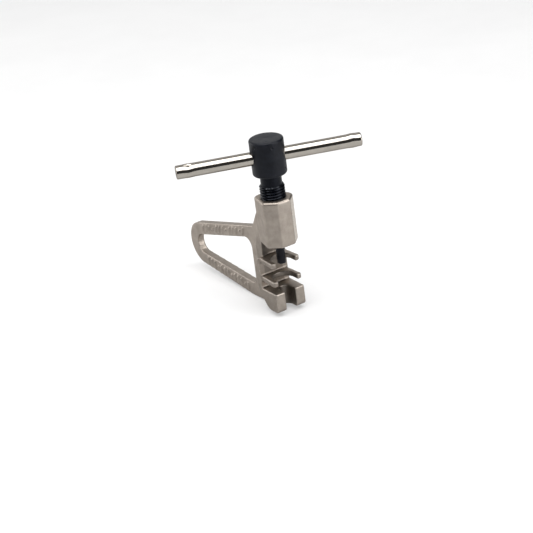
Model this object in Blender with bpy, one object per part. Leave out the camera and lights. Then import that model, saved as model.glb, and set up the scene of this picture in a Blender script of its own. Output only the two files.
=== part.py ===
"""A small bicycle chain tool: a one-piece casting with a finger loop, a feed screw with a sliding
tee bar, and a loose drive pin held in the screw's nose by a snap ring.

All sizes below are millimetres. +Z runs up the screw's axis, +X points out of the chain slots
and +Y runs along the chain. The origin is the centre of the drive pin's tip.
"""

import math

import bmesh
import bpy
from mathutils import Matrix, Vector

MM = 0.001

# What the tool is made to hold: a roller chain of half-inch pitch.
ROLLER_POCKET_RADIUS = 4.25
DRIVE_CRADLE_Z = -6.6
LOOSEN_CRADLE_Z = 0.8
CRADLE_THICKNESS = 2.0
CRADLE_TIP_X = 2.9
CRADLE_TIP_HALF_WIDTH = 6.2
CRADLE_ROOT_HALF_WIDTH = 5.7
CHAIN_SLOT_BACK_X = -6.3

# Body of the casting: a wide block under a narrower column that carries the boss.
BLOCK_HALF_WIDTH = 6.3
COLUMN_HALF_WIDTH = 3.9
COLUMN_FRONT_X = -6.65
ANVIL_TOP_Z = -10.4
ANVIL_FRONT_X = 3.4
ANVIL_GROOVE_WIDTH = 4.6
ANVIL_GROOVE_END_X = -2.3
BOSS_FRONT_CORNERS = ((6.75, 2.8), (2.8, 6.75))
BOSS_BACK_CORNER = (-6.5, 4.7)
BOSS_BACK_ROUND = 2.0
BOSS_BOTTOM_Z = 8.4
BOSS_TOP_Z = 26.4
BOSS_CHAMFER = 0.45

# Finger loop: a flat plate in the XZ plane with a rounded triangular hole.
PLATE_THICKNESS = 3.0
LOOP_END_CENTRE = (-56.0, -8.3)
LOOP_END_RADIUS = 8.6
LOOP_HOLE_END_RADIUS = 3.9
LOOP_HOLE_FRONT_X = -17.9

# Feed screw, 3/8 inch by 24 threads to the inch.
THREAD_MAJOR_RADIUS = 9.525 / 2
THREAD_PITCH = 25.4 / 24
THREAD_DEPTH = 0.6
THREAD_CLEARANCE = 0.075
THREAD_STEPS = 18
SCREW_NOSE_Z = 11.4
THREAD_END_Z = 30.9
NECK_RADIUS = 3.95
HEAD_RADIUS = 6.35
HEAD_BOTTOM_Z = 35.4
HEAD_TOP_Z = 49.0
HEAD_CHAMFER = 0.7

# Tee bar, 5 mm, free to slide through the head between its staked ends. It stands a little off centre.
BAR_RADIUS = 5.0 / 2
BAR_LENGTH = 68.3
BAR_ANGLE = math.radians(67.3)
BAR_SHIFT = 0.42
BAR_Z = 42.1
BAR_HOLE_RADIUS = 2.62
STAKES_FROM_ENDS = (4.5, 3.5)
STAKE_LENGTH = 2.4
STAKE_BULGE = 1.16
STAKE_SQUEEZE = 0.92

# Drive pin and the snap ring that keeps it in the screw's nose.
PIN_RADIUS = 1.65
PIN_TIP_CHAMFER = 0.25
PIN_FLANGE_RADIUS = 2.55
PIN_FLANGE_Z = (15.3, 16.5)
NOSE_BORE_RADIUS = 2.75
NOSE_BORE_TOP_Z = 16.8
RING_GROOVE_RADIUS = 3.15
RING_GROOVE_Z = (13.9, 14.9)
RING_RADIUS = 2.6
RING_WIRE_RADIUS = 0.35
RING_GAP = math.radians(50.0)

# Facets around the round pieces.
ROUND = 36
SMALL_ROUND = 24


def clear_scene():
    for old in list(bpy.data.objects):
        bpy.data.objects.remove(old, do_unlink=True)


def metal(name, colour, roughness, metallic=1.0):
    material = bpy.data.materials.new(name)
    material.use_nodes = True
    shader = material.node_tree.nodes["Principled BSDF"]
    shader.inputs["Base Color"].default_value = (*colour, 1.0)
    shader.inputs["Roughness"].default_value = roughness
    shader.inputs["Metallic"].default_value = metallic
    return material


def add_object(name, bm):
    """Put a bmesh whose numbers are millimetres into the scene as an object in metres."""
    bmesh.ops.scale(bm, vec=(MM, MM, MM), verts=bm.verts)
    bmesh.ops.recalc_face_normals(bm, faces=bm.faces)
    mesh = bpy.data.meshes.new(name)
    bm.to_mesh(mesh)
    bm.free()
    shape = bpy.data.objects.new(name, mesh)
    bpy.context.scene.collection.objects.link(shape)
    return shape


def combine(target, tool, operation):
    """Join, cut or intersect a shape with a tool and take the tool away."""
    modifier = target.modifiers.new(operation.lower(), "BOOLEAN")
    modifier.operation = operation
    modifier.solver = "EXACT"
    modifier.object = tool
    bpy.context.view_layer.update()
    graph = bpy.context.evaluated_depsgraph_get()
    mesh = bpy.data.meshes.new_from_object(target.evaluated_get(graph))
    target.modifiers.remove(modifier)
    target.data = mesh
    bpy.data.objects.remove(tool, do_unlink=True)


def arc(centre, radius, start, end, steps):
    """Points along an arc, from one angle in degrees to another."""
    points = []
    for step in range(steps + 1):
        angle = math.radians(start + (end - start) * step / steps)
        points.append((centre[0] + radius * math.cos(angle), centre[1] + radius * math.sin(angle)))
    return points


def rounded(corners, steps=4):
    """An outline whose corners (x, y, radius) are turned into arcs."""
    outline = []
    count = len(corners)
    for index, (x, y, radius) in enumerate(corners):
        here = Vector((x, y))
        back = (Vector(corners[index - 1][:2]) - here).normalized()
        ahead = (Vector(corners[(index + 1) % count][:2]) - here).normalized()
        if radius == 0.0:
            outline.append((x, y))
            continue
        half = back.angle(ahead) / 2
        reach = radius / math.tan(half)
        centre = here + (back + ahead).normalized() * (radius / math.sin(half))
        first = here + back * reach - centre
        last = here + ahead * reach - centre
        turn = first.angle_signed(last)
        for step in range(steps + 1):
            point = first.copy()
            point.rotate(Matrix.Rotation(-turn * step / steps, 2))
            outline.append(tuple(centre + point))
    return outline


def side_prism(name, outline, half_width):
    """A prism across Y from an outline in the XZ plane."""
    bm = bmesh.new()
    verts = [bm.verts.new((x, -half_width, z)) for x, z in outline]
    face = bm.faces.new(verts)
    grown = bmesh.ops.extrude_face_region(bm, geom=[face])
    top = [item for item in grown["geom"] if isinstance(item, bmesh.types.BMVert)]
    bmesh.ops.translate(bm, vec=(0, 2 * half_width, 0), verts=top)
    return add_object(name, bm)


def upright_prism(name, outline, low, high):
    """A prism up Z from an outline in the XY plane."""
    bm = bmesh.new()
    verts = [bm.verts.new((x, y, low)) for x, y in outline]
    face = bm.faces.new(verts)
    grown = bmesh.ops.extrude_face_region(bm, geom=[face])
    top = [item for item in grown["geom"] if isinstance(item, bmesh.types.BMVert)]
    bmesh.ops.translate(bm, vec=(0, 0, high - low), verts=top)
    return add_object(name, bm)


def revolved(profile, steps):
    """The mesh of a solid of revolution about Z; its (radius, z) profile starts and ends on the axis."""
    bm = bmesh.new()
    verts = [bm.verts.new((radius, 0, z)) for radius, z in profile]
    edges = [bm.edges.new(pair) for pair in zip(verts, verts[1:])]
    bmesh.ops.spin(bm, geom=verts + edges, cent=(0, 0, 0), axis=(0, 0, 1),
                   angle=2 * math.pi, steps=steps, use_merge=True)
    bmesh.ops.remove_doubles(bm, verts=bm.verts, dist=1e-4)
    return bm


def turned(name, profile, steps=ROUND):
    """A solid of revolution about Z as an object."""
    return add_object(name, revolved(profile, steps))


def threaded_rod(name, radius, low, high):
    """A rod with a right-hand thread, longer than low to high by a turn at each end."""
    root = radius - THREAD_DEPTH
    turns = math.ceil((high - low) / THREAD_PITCH) + 2
    start = low - THREAD_PITCH * 1.5
    start = math.floor(start / THREAD_PITCH) * THREAD_PITCH
    bm = bmesh.new()
    section = [(root, 0.0), (radius, 0.44), (radius, 0.56), (root, 1.0)]
    verts = [bm.verts.new((r, 0, start + share * THREAD_PITCH)) for r, share in section]
    edges = [bm.edges.new(pair) for pair in zip(verts, verts[1:])]
    steps = turns * THREAD_STEPS
    bmesh.ops.spin(bm, geom=verts + edges, cent=(0, 0, 0), axis=(0, 0, 1),
                   dvec=(0, 0, THREAD_PITCH / THREAD_STEPS), angle=2 * math.pi * turns, steps=steps)
    bmesh.ops.remove_doubles(bm, verts=bm.verts, dist=1e-3)
    middle = start + THREAD_PITCH * (turns + 1) / 2
    rim = [edge for edge in bm.edges if edge.is_boundary]
    for side in (-1, 1):
        loop = [edge for edge in rim if (edge.verts[0].co.z - middle) * side > 0]
        tip = bm.verts.new((0, 0, middle + side * THREAD_PITCH * (turns + 3) / 2))
        for edge in loop:
            bm.faces.new((*edge.verts, tip))
    return add_object(name, bm)


def cut_thread(name, radius, low, high):
    """A threaded rod trimmed to length, with a chamfered lead at its lower end."""
    rod = threaded_rod(name, radius, low, high)
    lead = THREAD_DEPTH + 0.3
    blank = turned("blank", [(0, low), (radius + 0.3 - lead, low), (radius + 0.3, low + lead),
                             (radius + 0.3, high), (0, high)])
    combine(rod, blank, "INTERSECT")
    return rod


def loop_plate():
    """The finger loop with the gusset that runs up the back of the boss."""
    end_x, end_z = LOOP_END_CENTRE
    outline = arc(LOOP_END_CENTRE, LOOP_END_RADIUS, 264, 104, 14)
    outline += [(-15.4, 10.7), (-12.0, 16.5), (-6.0, 24.4), (-5.2, 24.4), (-5.2, 9.0), (-8.0, 9.0),
                (-8.0, -12.0), (-4.0, -12.0), (-4.0, -18.2), (-14.0, -19.3), (-21.0, -19.6)]
    plate = side_prism("loop_plate", outline, PLATE_THICKNESS / 2)
    hole_end = arc((end_x + 0.6, end_z - 0.1), LOOP_HOLE_END_RADIUS, 266, 105, 8)
    corners = [(x, z, 0.0) for x, z in hole_end]
    corners += [(LOOP_HOLE_FRONT_X, 5.4, 3.6), (LOOP_HOLE_FRONT_X, -14.3, 3.0)]
    combine(plate, side_prism("loop_hole", rounded(corners), PLATE_THICKNESS), "DIFFERENCE")
    return plate


def body_block():
    """The wide block seen from the side: cradles and anvil before they are cut."""
    top = LOOSEN_CRADLE_Z + CRADLE_THICKNESS / 2
    corners = [(-7.2, top, 1.5), (-9.4, -3.0, 4.0), (-8.8, -11.5, 5.0), (-3.2, -18.2, 4.5),
               (ANVIL_FRONT_X, -18.2, 1.6), (ANVIL_FRONT_X, top, 0.0)]
    return side_prism("body_block", rounded(corners), BLOCK_HALF_WIDTH)


def column():
    """The narrow column between the block and the boss, and a thinner web that backs it."""
    inside_boss = (-5.0, 9.0), (-5.0, 20.0)
    back = [(-8.6, 12.5, 6.0), (-10.8, 5.0, 6.0), (-10.8, -3.0, 4.0), (-8.6, -11.0, 0.0)]
    corners = [(COLUMN_FRONT_X, -11.0, 0.0), (COLUMN_FRONT_X, 9.0, 0.0)]
    corners += [(x, z, 0.0) for x, z in inside_boss] + back
    post = side_prism("column", rounded(corners), COLUMN_HALF_WIDTH)
    corners = [(-7.5, -12.0, 0.0), (-7.5, 17.0, 0.0)] + [(x - 1.4, z, radius) for x, z, radius in back]
    half_width = (COLUMN_HALF_WIDTH + PLATE_THICKNESS / 2) / 2
    combine(post, side_prism("web", rounded(corners), half_width), "UNION")
    return post


def slot_cutter(low, high):
    """The free space in front of the block between two of its shelves."""
    reach = BLOCK_HALF_WIDTH + 3.0
    front = ANVIL_FRONT_X + 3.0
    outline = [(front, -reach), (front, reach), (CHAIN_SLOT_BACK_X, reach), (CHAIN_SLOT_BACK_X, -reach)]
    return upright_prism("slot", outline, low, high)


def cradle_trim():
    """Space in front of and beside the two cradles, which leaves a pair of teeth on each."""
    front = ANVIL_FRONT_X + 3.0
    beside = BLOCK_HALF_WIDTH + 3.0
    root = (CHAIN_SLOT_BACK_X, CRADLE_ROOT_HALF_WIDTH)
    corners = [(root[0], -beside, 0.0), (front, -beside, 0.0), (front, beside, 0.0), (root[0], beside, 0.0),
               (*root, 0.0), (CRADLE_TIP_X, CRADLE_TIP_HALF_WIDTH, 0.9),
               (CRADLE_TIP_X, -CRADLE_TIP_HALF_WIDTH, 0.9), (root[0], -root[1], 0.0)]
    low = DRIVE_CRADLE_Z - CRADLE_THICKNESS / 2 - 0.1
    high = LOOSEN_CRADLE_Z + CRADLE_THICKNESS / 2 + 0.1
    return upright_prism("cradle_trim", rounded(corners), low, high)


def roller_pocket():
    """The open-fronted pocket in both cradles that a chain roller slides into."""
    front = ANVIL_FRONT_X + 3.0
    outline = arc((0, 0), ROLLER_POCKET_RADIUS, 90, 270, 14)
    outline += [(front, -ROLLER_POCKET_RADIUS), (front, ROLLER_POCKET_RADIUS)]
    return upright_prism("pocket", outline, DRIVE_CRADLE_Z - 2.0, LOOSEN_CRADLE_Z + 2.0)


def anvil_groove():
    """The groove down the anvil's front that a chain rivet is driven into."""
    half = ANVIL_GROOVE_WIDTH / 2
    front = ANVIL_FRONT_X + 3.0
    outline = arc((ANVIL_GROOVE_END_X + half, 0), half, 90, 270, 8)
    outline += [(front, -half), (front, half)]
    return upright_prism("groove", outline, -30.0, ANVIL_TOP_Z + 1.0)


def boss_outline(inset):
    """Half an eight-sided nut in front that narrows to a rounded back, seen from above."""
    front = [(x - inset * 0.7, y - inset * 0.7, 0.0) for x, y in BOSS_FRONT_CORNERS]
    back = (BOSS_BACK_CORNER[0] + inset, BOSS_BACK_CORNER[1] - inset, BOSS_BACK_ROUND)
    right = front + [back]
    left = [(x, -y, radius) for x, y, radius in reversed(right)]
    return rounded(right + left)


def boss():
    """The faceted nut-like boss at the top, with its upper edges chamfered."""
    bm = bmesh.new()
    loops = []
    for inset, z in ((0.0, BOSS_BOTTOM_Z), (0.0, BOSS_TOP_Z - BOSS_CHAMFER), (BOSS_CHAMFER, BOSS_TOP_Z)):
        verts = [bm.verts.new((x, y, z)) for x, y in boss_outline(inset)]
        loops.append([bm.edges.new((verts[side - 1], verts[side])) for side in range(len(verts))])
    for lower, upper in zip(loops, loops[1:]):
        bmesh.ops.bridge_loops(bm, edges=lower + upper)
    bmesh.ops.holes_fill(bm, edges=loops[0] + loops[-1])
    return add_object("boss", bm)


def frame_casting(material):
    """The body, built up from its blocks and then cut by its slots, pocket, groove and thread."""
    casting = body_block()
    shelf = CRADLE_THICKNESS / 2
    combine(casting, slot_cutter(ANVIL_TOP_Z, DRIVE_CRADLE_Z - shelf), "DIFFERENCE")
    combine(casting, slot_cutter(DRIVE_CRADLE_Z + shelf, LOOSEN_CRADLE_Z - shelf), "DIFFERENCE")
    combine(casting, cradle_trim(), "DIFFERENCE")
    combine(casting, roller_pocket(), "DIFFERENCE")
    combine(casting, column(), "UNION")
    combine(casting, boss(), "UNION")
    combine(casting, loop_plate(), "UNION")
    combine(casting, anvil_groove(), "DIFFERENCE")
    nominal = THREAD_MAJOR_RADIUS + THREAD_CLEARANCE
    combine(casting, threaded_rod("hole", nominal, BOSS_BOTTOM_Z, BOSS_TOP_Z), "DIFFERENCE")
    mouth = turned("mouth", [(0, BOSS_TOP_Z - 0.8), (nominal - THREAD_DEPTH, BOSS_TOP_Z - 0.8),
                             (nominal + 0.6, BOSS_TOP_Z + 0.4), (0, BOSS_TOP_Z + 0.4)])
    combine(casting, mouth, "DIFFERENCE")
    return finished(casting, "frame_casting", material)


def drive_screw(material):
    """The feed screw: thread, relief neck and cylindrical head in one turned piece."""
    radius = THREAD_MAJOR_RADIUS - THREAD_CLEARANCE
    screw = cut_thread("drive_screw", radius, SCREW_NOSE_Z, THREAD_END_Z + 0.5)
    edge = HEAD_RADIUS - HEAD_CHAMFER
    top = turned("head", [(0, THREAD_END_Z), (NECK_RADIUS, THREAD_END_Z), (NECK_RADIUS, HEAD_BOTTOM_Z),
                          (edge, HEAD_BOTTOM_Z), (HEAD_RADIUS, HEAD_BOTTOM_Z + HEAD_CHAMFER),
                          (HEAD_RADIUS, HEAD_TOP_Z - HEAD_CHAMFER), (edge, HEAD_TOP_Z), (0, HEAD_TOP_Z)])
    combine(screw, top, "UNION")
    bore = turned("bore", [(0, SCREW_NOSE_Z - 1), (NOSE_BORE_RADIUS, SCREW_NOSE_Z - 1),
                           (NOSE_BORE_RADIUS, RING_GROOVE_Z[0]), (RING_GROOVE_RADIUS, RING_GROOVE_Z[0]),
                           (RING_GROOVE_RADIUS, RING_GROOVE_Z[1]), (NOSE_BORE_RADIUS, RING_GROOVE_Z[1]),
                           (NOSE_BORE_RADIUS, NOSE_BORE_TOP_Z), (0, NOSE_BORE_TOP_Z)], SMALL_ROUND)
    combine(screw, bore, "DIFFERENCE")
    combine(screw, bar_shape("cross_hole", BAR_HOLE_RADIUS, 2.4 * HEAD_RADIUS), "DIFFERENCE")
    return finished(screw, "drive_screw", material)


def staked(bm, stakes):
    """Squeeze a bar near its ends, as a punch does: one end from above, the other from the side."""
    for vert in bm.verts:
        if min(abs(vert.co.z - centre) for centre in stakes) < 0.01:
            from_above = vert.co.z < 0
            vert.co.x *= STAKE_SQUEEZE if from_above else STAKE_BULGE
            vert.co.y *= STAKE_BULGE if from_above else STAKE_SQUEEZE


def bar_shape(name, radius, length, chamfer=0.0):
    """A round bar placed through the head, on the axis that the tee bar slides along."""
    half = length / 2
    profile = [(0, -half), (radius - chamfer, -half), (radius, -half + chamfer)]
    stakes = (STAKES_FROM_ENDS[0] - half, half - STAKES_FROM_ENDS[1])
    if chamfer > 0.0:
        profile += [(radius, centre + share * STAKE_LENGTH / 2) for centre in stakes for share in (-1, 0, 1)]
    profile += [(radius, half - chamfer), (radius - chamfer, half), (0, half)]
    bm = revolved(profile, SMALL_ROUND)
    if chamfer > 0.0:
        staked(bm, stakes)
    bar = add_object(name, bm)
    bar.location = (BAR_SHIFT * math.cos(BAR_ANGLE) * MM, BAR_SHIFT * math.sin(BAR_ANGLE) * MM, BAR_Z * MM)
    bar.rotation_euler = (0.0, math.radians(90), BAR_ANGLE)
    return bar


def tee_bar(material):
    """The sliding bar that turns the screw by hand."""
    return finished(bar_shape("tee_bar", BAR_RADIUS, BAR_LENGTH, chamfer=0.4), "tee_bar", material)


def drive_pin(material):
    """The loose pin: a slim shank that pushes the rivet and a flange inside the screw's nose."""
    low, high = PIN_FLANGE_Z
    pin = turned("drive_pin", [(0, 0), (PIN_RADIUS - PIN_TIP_CHAMFER, 0), (PIN_RADIUS, PIN_TIP_CHAMFER),
                               (PIN_RADIUS, low), (PIN_FLANGE_RADIUS, low), (PIN_FLANGE_RADIUS, high),
                               (0, high)], SMALL_ROUND)
    return finished(pin, "drive_pin", material)


def pin_retaining_ring(material):
    """A round-wire snap ring with a gap, seated in the groove of the screw's nose."""
    bm = bmesh.new()
    wire = bmesh.ops.create_circle(bm, cap_ends=True, segments=8, radius=RING_WIRE_RADIUS,
                                   matrix=Matrix.Rotation(math.radians(90), 4, "X"))
    bmesh.ops.translate(bm, vec=(RING_RADIUS, 0, sum(RING_GROOVE_Z) / 2), verts=wire["verts"])
    bmesh.ops.spin(bm, geom=bm.faces[:], cent=(0, 0, 0), axis=(0, 0, 1),
                   angle=2 * math.pi - RING_GAP, steps=SMALL_ROUND)
    return finished(add_object("pin_retaining_ring", bm), "pin_retaining_ring", material)


def finished(shape, name, material):
    """Name a finished piece, give it its material and shade its round faces smooth."""
    shape.name = name
    shape.data.name = name
    shape.data.materials.clear()
    shape.data.materials.append(material)
    shape.data.shade_smooth()
    shape.data.set_sharp_from_angle(angle=math.radians(30))
    return shape


def main():
    clear_scene()
    nickel = metal("nickel_plate", (0.42, 0.38, 0.34), 0.38)
    black_oxide = metal("black_oxide", (0.025, 0.028, 0.034), 0.42, 0.6)
    polished = metal("polished_nickel", (0.62, 0.57, 0.51), 0.14)
    hard_steel = metal("hardened_steel", (0.05, 0.05, 0.055), 0.35, 0.9)
    spring_steel = metal("spring_steel", (0.30, 0.29, 0.28), 0.30)
    frame_casting(nickel)
    drive_screw(black_oxide)
    tee_bar(polished)
    drive_pin(hard_steel)
    pin_retaining_ring(spring_steel)


main()
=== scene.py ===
"""Looks of a small bicycle chain tool: cast frame, feed screw, tee bar, drive pin and snap ring.

Sizes in the pieces' classes are millimetres, and a finished mesh is scaled to metres about the origin,
the centre of the drive pin's tip. +Z runs up the feed screw, +X out of the chain slots and +Y along the
chain.
"""

import logging
import math
from dataclasses import dataclass
from enum import Enum

import bmesh
import bpy
from mathutils import Matrix, Vector


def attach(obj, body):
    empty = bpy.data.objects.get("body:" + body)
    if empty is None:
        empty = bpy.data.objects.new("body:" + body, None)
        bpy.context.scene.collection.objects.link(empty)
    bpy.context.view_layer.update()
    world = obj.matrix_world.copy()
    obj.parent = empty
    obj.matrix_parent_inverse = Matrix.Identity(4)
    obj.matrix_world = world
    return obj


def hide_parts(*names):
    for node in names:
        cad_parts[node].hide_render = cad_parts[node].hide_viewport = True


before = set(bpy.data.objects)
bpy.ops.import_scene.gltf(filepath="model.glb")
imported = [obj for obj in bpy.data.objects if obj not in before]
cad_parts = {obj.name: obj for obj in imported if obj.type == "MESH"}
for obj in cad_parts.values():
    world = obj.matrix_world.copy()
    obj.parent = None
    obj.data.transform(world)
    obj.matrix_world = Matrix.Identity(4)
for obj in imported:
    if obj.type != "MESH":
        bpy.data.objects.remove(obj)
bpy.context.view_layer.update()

MM = 0.001
WELD = 1e-4  # Points closer than this many millimetres become one.
BAR_ANGLE = math.radians(67.3)
LOG = logging.getLogger("chain_tool")

Point = tuple[float, float]
Corner = tuple[float, float, float]
Colour = tuple[float, float, float]


class Meeting(Enum):
    """What happens where a tool shape meets the shape it works on."""

    JOIN = "UNION"
    CUT = "DIFFERENCE"
    KEEP_INSIDE = "INTERSECT"


class Body(Enum):
    """The moving bodies of the tool."""

    FRAME = "frame"
    PIN = "pin"
    SCREW = "screw"
    HANDLE = "handle"


# ---------------------------------------------------------------- outlines and meshes


def arc(centre: Point, radius: float, start: float, end: float, steps: int) -> list[Point]:
    """Points along an arc.

    Args:
        centre: The arc's centre.
        radius: Its radius.
        start: Angle of the first point, in degrees.
        end: Angle of the last point, in degrees.
        steps: Number of chords.

    Returns:
        The points in order.
    """
    angles = [math.radians(start + (end - start) * step / steps) for step in range(steps + 1)]
    return [(centre[0] + radius * math.cos(a), centre[1] + radius * math.sin(a)) for a in angles]


def rounded(corners: list[Corner], steps: int = 8) -> list[Point]:
    """An outline whose corners are turned into arcs.

    Args:
        corners: Corners as (x, y, radius); a radius of zero keeps the corner sharp.
        steps: Chords in each arc.

    Returns:
        The outline's points.
    """
    outline: list[Point] = []
    for index, (x, y, radius) in enumerate(corners):
        here = Vector((x, y))
        if radius == 0.0:
            outline.append((x, y))
            continue
        back = (Vector(corners[index - 1][:2]) - here).normalized()
        ahead = (Vector(corners[(index + 1) % len(corners)][:2]) - here).normalized()
        half = back.angle(ahead) / 2
        centre = here + (back + ahead).normalized() * (radius / math.sin(half))
        first = here + back * (radius / math.tan(half)) - centre
        turn = first.angle_signed(here + ahead * (radius / math.tan(half)) - centre)
        for step in range(steps + 1):
            point = first.copy()
            point.rotate(Matrix.Rotation(-turn * step / steps, 2))
            outline.append(tuple(centre + point))
    return outline


def to_object(name: str, bm: bmesh.types.BMesh) -> bpy.types.Object:
    """Turn a bmesh into an object whose mesh is still in millimetres.

    Args:
        name: The object's name.
        bm: The mesh, which is used up.

    Returns:
        The new object.
    """
    bmesh.ops.recalc_face_normals(bm, faces=bm.faces)
    mesh = bpy.data.meshes.new(name)
    bm.to_mesh(mesh)
    bm.free()
    shape = bpy.data.objects.new(name, mesh)
    bpy.context.scene.collection.objects.link(shape)
    return shape


def keep_result(shape: bpy.types.Object) -> None:
    """Make the result of a shape's modifiers its mesh.

    Args:
        shape: The shape, whose modifiers are used up.
    """
    bpy.context.view_layer.update()
    graph = bpy.context.evaluated_depsgraph_get()
    mesh = bpy.data.meshes.new_from_object(shape.evaluated_get(graph))
    shape.modifiers.clear()
    shape.data = mesh


def combine(shape: bpy.types.Object, tool: bpy.types.Object, meeting: Meeting) -> None:
    """Join, cut or trim a shape with a tool shape, which is then taken away.

    Args:
        shape: The shape that is changed.
        tool: The shape that changes it.
        meeting: What the tool does.
    """
    modifier = shape.modifiers.new(meeting.name.lower(), "BOOLEAN")
    modifier.operation = meeting.value
    modifier.solver = "EXACT"
    modifier.object = tool
    keep_result(shape)
    bpy.data.objects.remove(tool, do_unlink=True)


def prism(name: str, outline: list[Point], low: float, high: float,
          across: bool) -> bpy.types.Object:
    """A straight prism.

    Args:
        name: The object's name.
        outline: Its section, as XZ points if across, else XY points.
        low: Where it starts, along Y if across, else along Z.
        high: Where it ends.
        across: Whether it runs along Y.

    Returns:
        The prism.
    """
    bm = bmesh.new()
    places = [(x, low, z) if across else (x, z, low) for x, z in outline]
    face = bm.faces.new([bm.verts.new(place) for place in places])
    grown = bmesh.ops.extrude_face_region(bm, geom=[face])["geom"]
    moved = [item for item in grown if isinstance(item, bmesh.types.BMVert)]
    reach = (0, high - low, 0) if across else (0, 0, high - low)
    bmesh.ops.translate(bm, vec=reach, verts=moved)
    return to_object(name, bm)


def direction(azimuth: float, elevation: float) -> Vector:
    """A unit vector from two angles in degrees.

    Args:
        azimuth: The turn from +X towards +Y.
        elevation: The rise above level.

    Returns:
        The vector.
    """
    turn, rise = math.radians(azimuth), math.radians(elevation)
    level = math.cos(rise)
    return Vector((math.cos(turn) * level, math.sin(turn) * level, math.sin(rise)))


def revolved(profile: list[Point], steps: int) -> bmesh.types.BMesh:
    """The mesh of a solid of revolution about Z.

    Args:
        profile: (radius, z) points that start and end on the axis.
        steps: Facets round the axis.

    Returns:
        The mesh.
    """
    bm = bmesh.new()
    verts = [bm.verts.new((radius, 0, z)) for radius, z in profile]
    edges = [bm.edges.new(pair) for pair in zip(verts, verts[1:])]
    bmesh.ops.spin(bm, geom=verts + edges, cent=(0, 0, 0), axis=(0, 0, 1),
                   angle=2 * math.pi, steps=steps, use_merge=True)
    bmesh.ops.remove_doubles(bm, verts=bm.verts, dist=WELD)
    return bm


def turned(name: str, profile: list[Point], steps: int = 96) -> bpy.types.Object:
    """A solid of revolution about Z as an object.

    Args:
        name: The object's name.
        profile: (radius, z) points that start and end on the axis.
        steps: Facets round the axis.

    Returns:
        The turned solid.
    """
    return to_object(name, revolved(profile, steps))


@dataclass(frozen=True)
class Thread:
    """A right-hand screw thread of 3/8 inch by 24 turns to the inch."""

    major_radius: float = 9.525 / 2
    pitch: float = 25.4 / 24
    depth: float = 0.6
    clearance: float = 0.075
    foot_round: float = 0.05
    crest_round: float = 0.06
    steps: int = 60

    def rod(self, name: str, grown: float, low: float, high: float) -> bpy.types.Object:
        """A threaded rod that is longer than asked for by more than a turn at each end.

        Args:
            name: The object's name.
            grown: How much its radius differs from the thread's own.
            low: Lower end of the wanted length.
            high: Upper end of the wanted length.

        Returns:
            The rod.
        """
        crest = self.major_radius + grown
        root = crest - self.depth
        turns = math.ceil((high - low) / self.pitch) + 2
        start = math.floor(low / self.pitch - 1.5) * self.pitch
        foot, shoulder = root + self.foot_round, crest - self.crest_round
        section = [(root, 0.0), (foot, 0.06), (shoulder, 0.42), (crest, 0.47),
                   (crest, 0.53), (shoulder, 0.58), (foot, 0.94), (root, 1.0)]
        bm = bmesh.new()
        verts = [bm.verts.new((r, 0, start + share * self.pitch)) for r, share in section]
        edges = [bm.edges.new(pair) for pair in zip(verts, verts[1:])]
        bmesh.ops.spin(bm, geom=verts + edges, cent=(0, 0, 0), axis=(0, 0, 1),
                       dvec=(0, 0, self.pitch / self.steps), angle=2 * math.pi * turns,
                       steps=turns * self.steps)
        bmesh.ops.remove_doubles(bm, verts=bm.verts, dist=10 * WELD)
        middle = start + self.pitch * (turns + 1) / 2
        rim = [edge for edge in bm.edges if edge.is_boundary]
        for side in (-1, 1):
            loop = [edge for edge in rim if (edge.verts[0].co.z - middle) * side > 0]
            tip = bm.verts.new((0, 0, middle + side * self.pitch * (turns + 3) / 2))
            for edge in loop:
                bm.faces.new((*edge.verts, tip))
        return to_object(name, bm)


# ---------------------------------------------------------------- finishes


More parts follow.
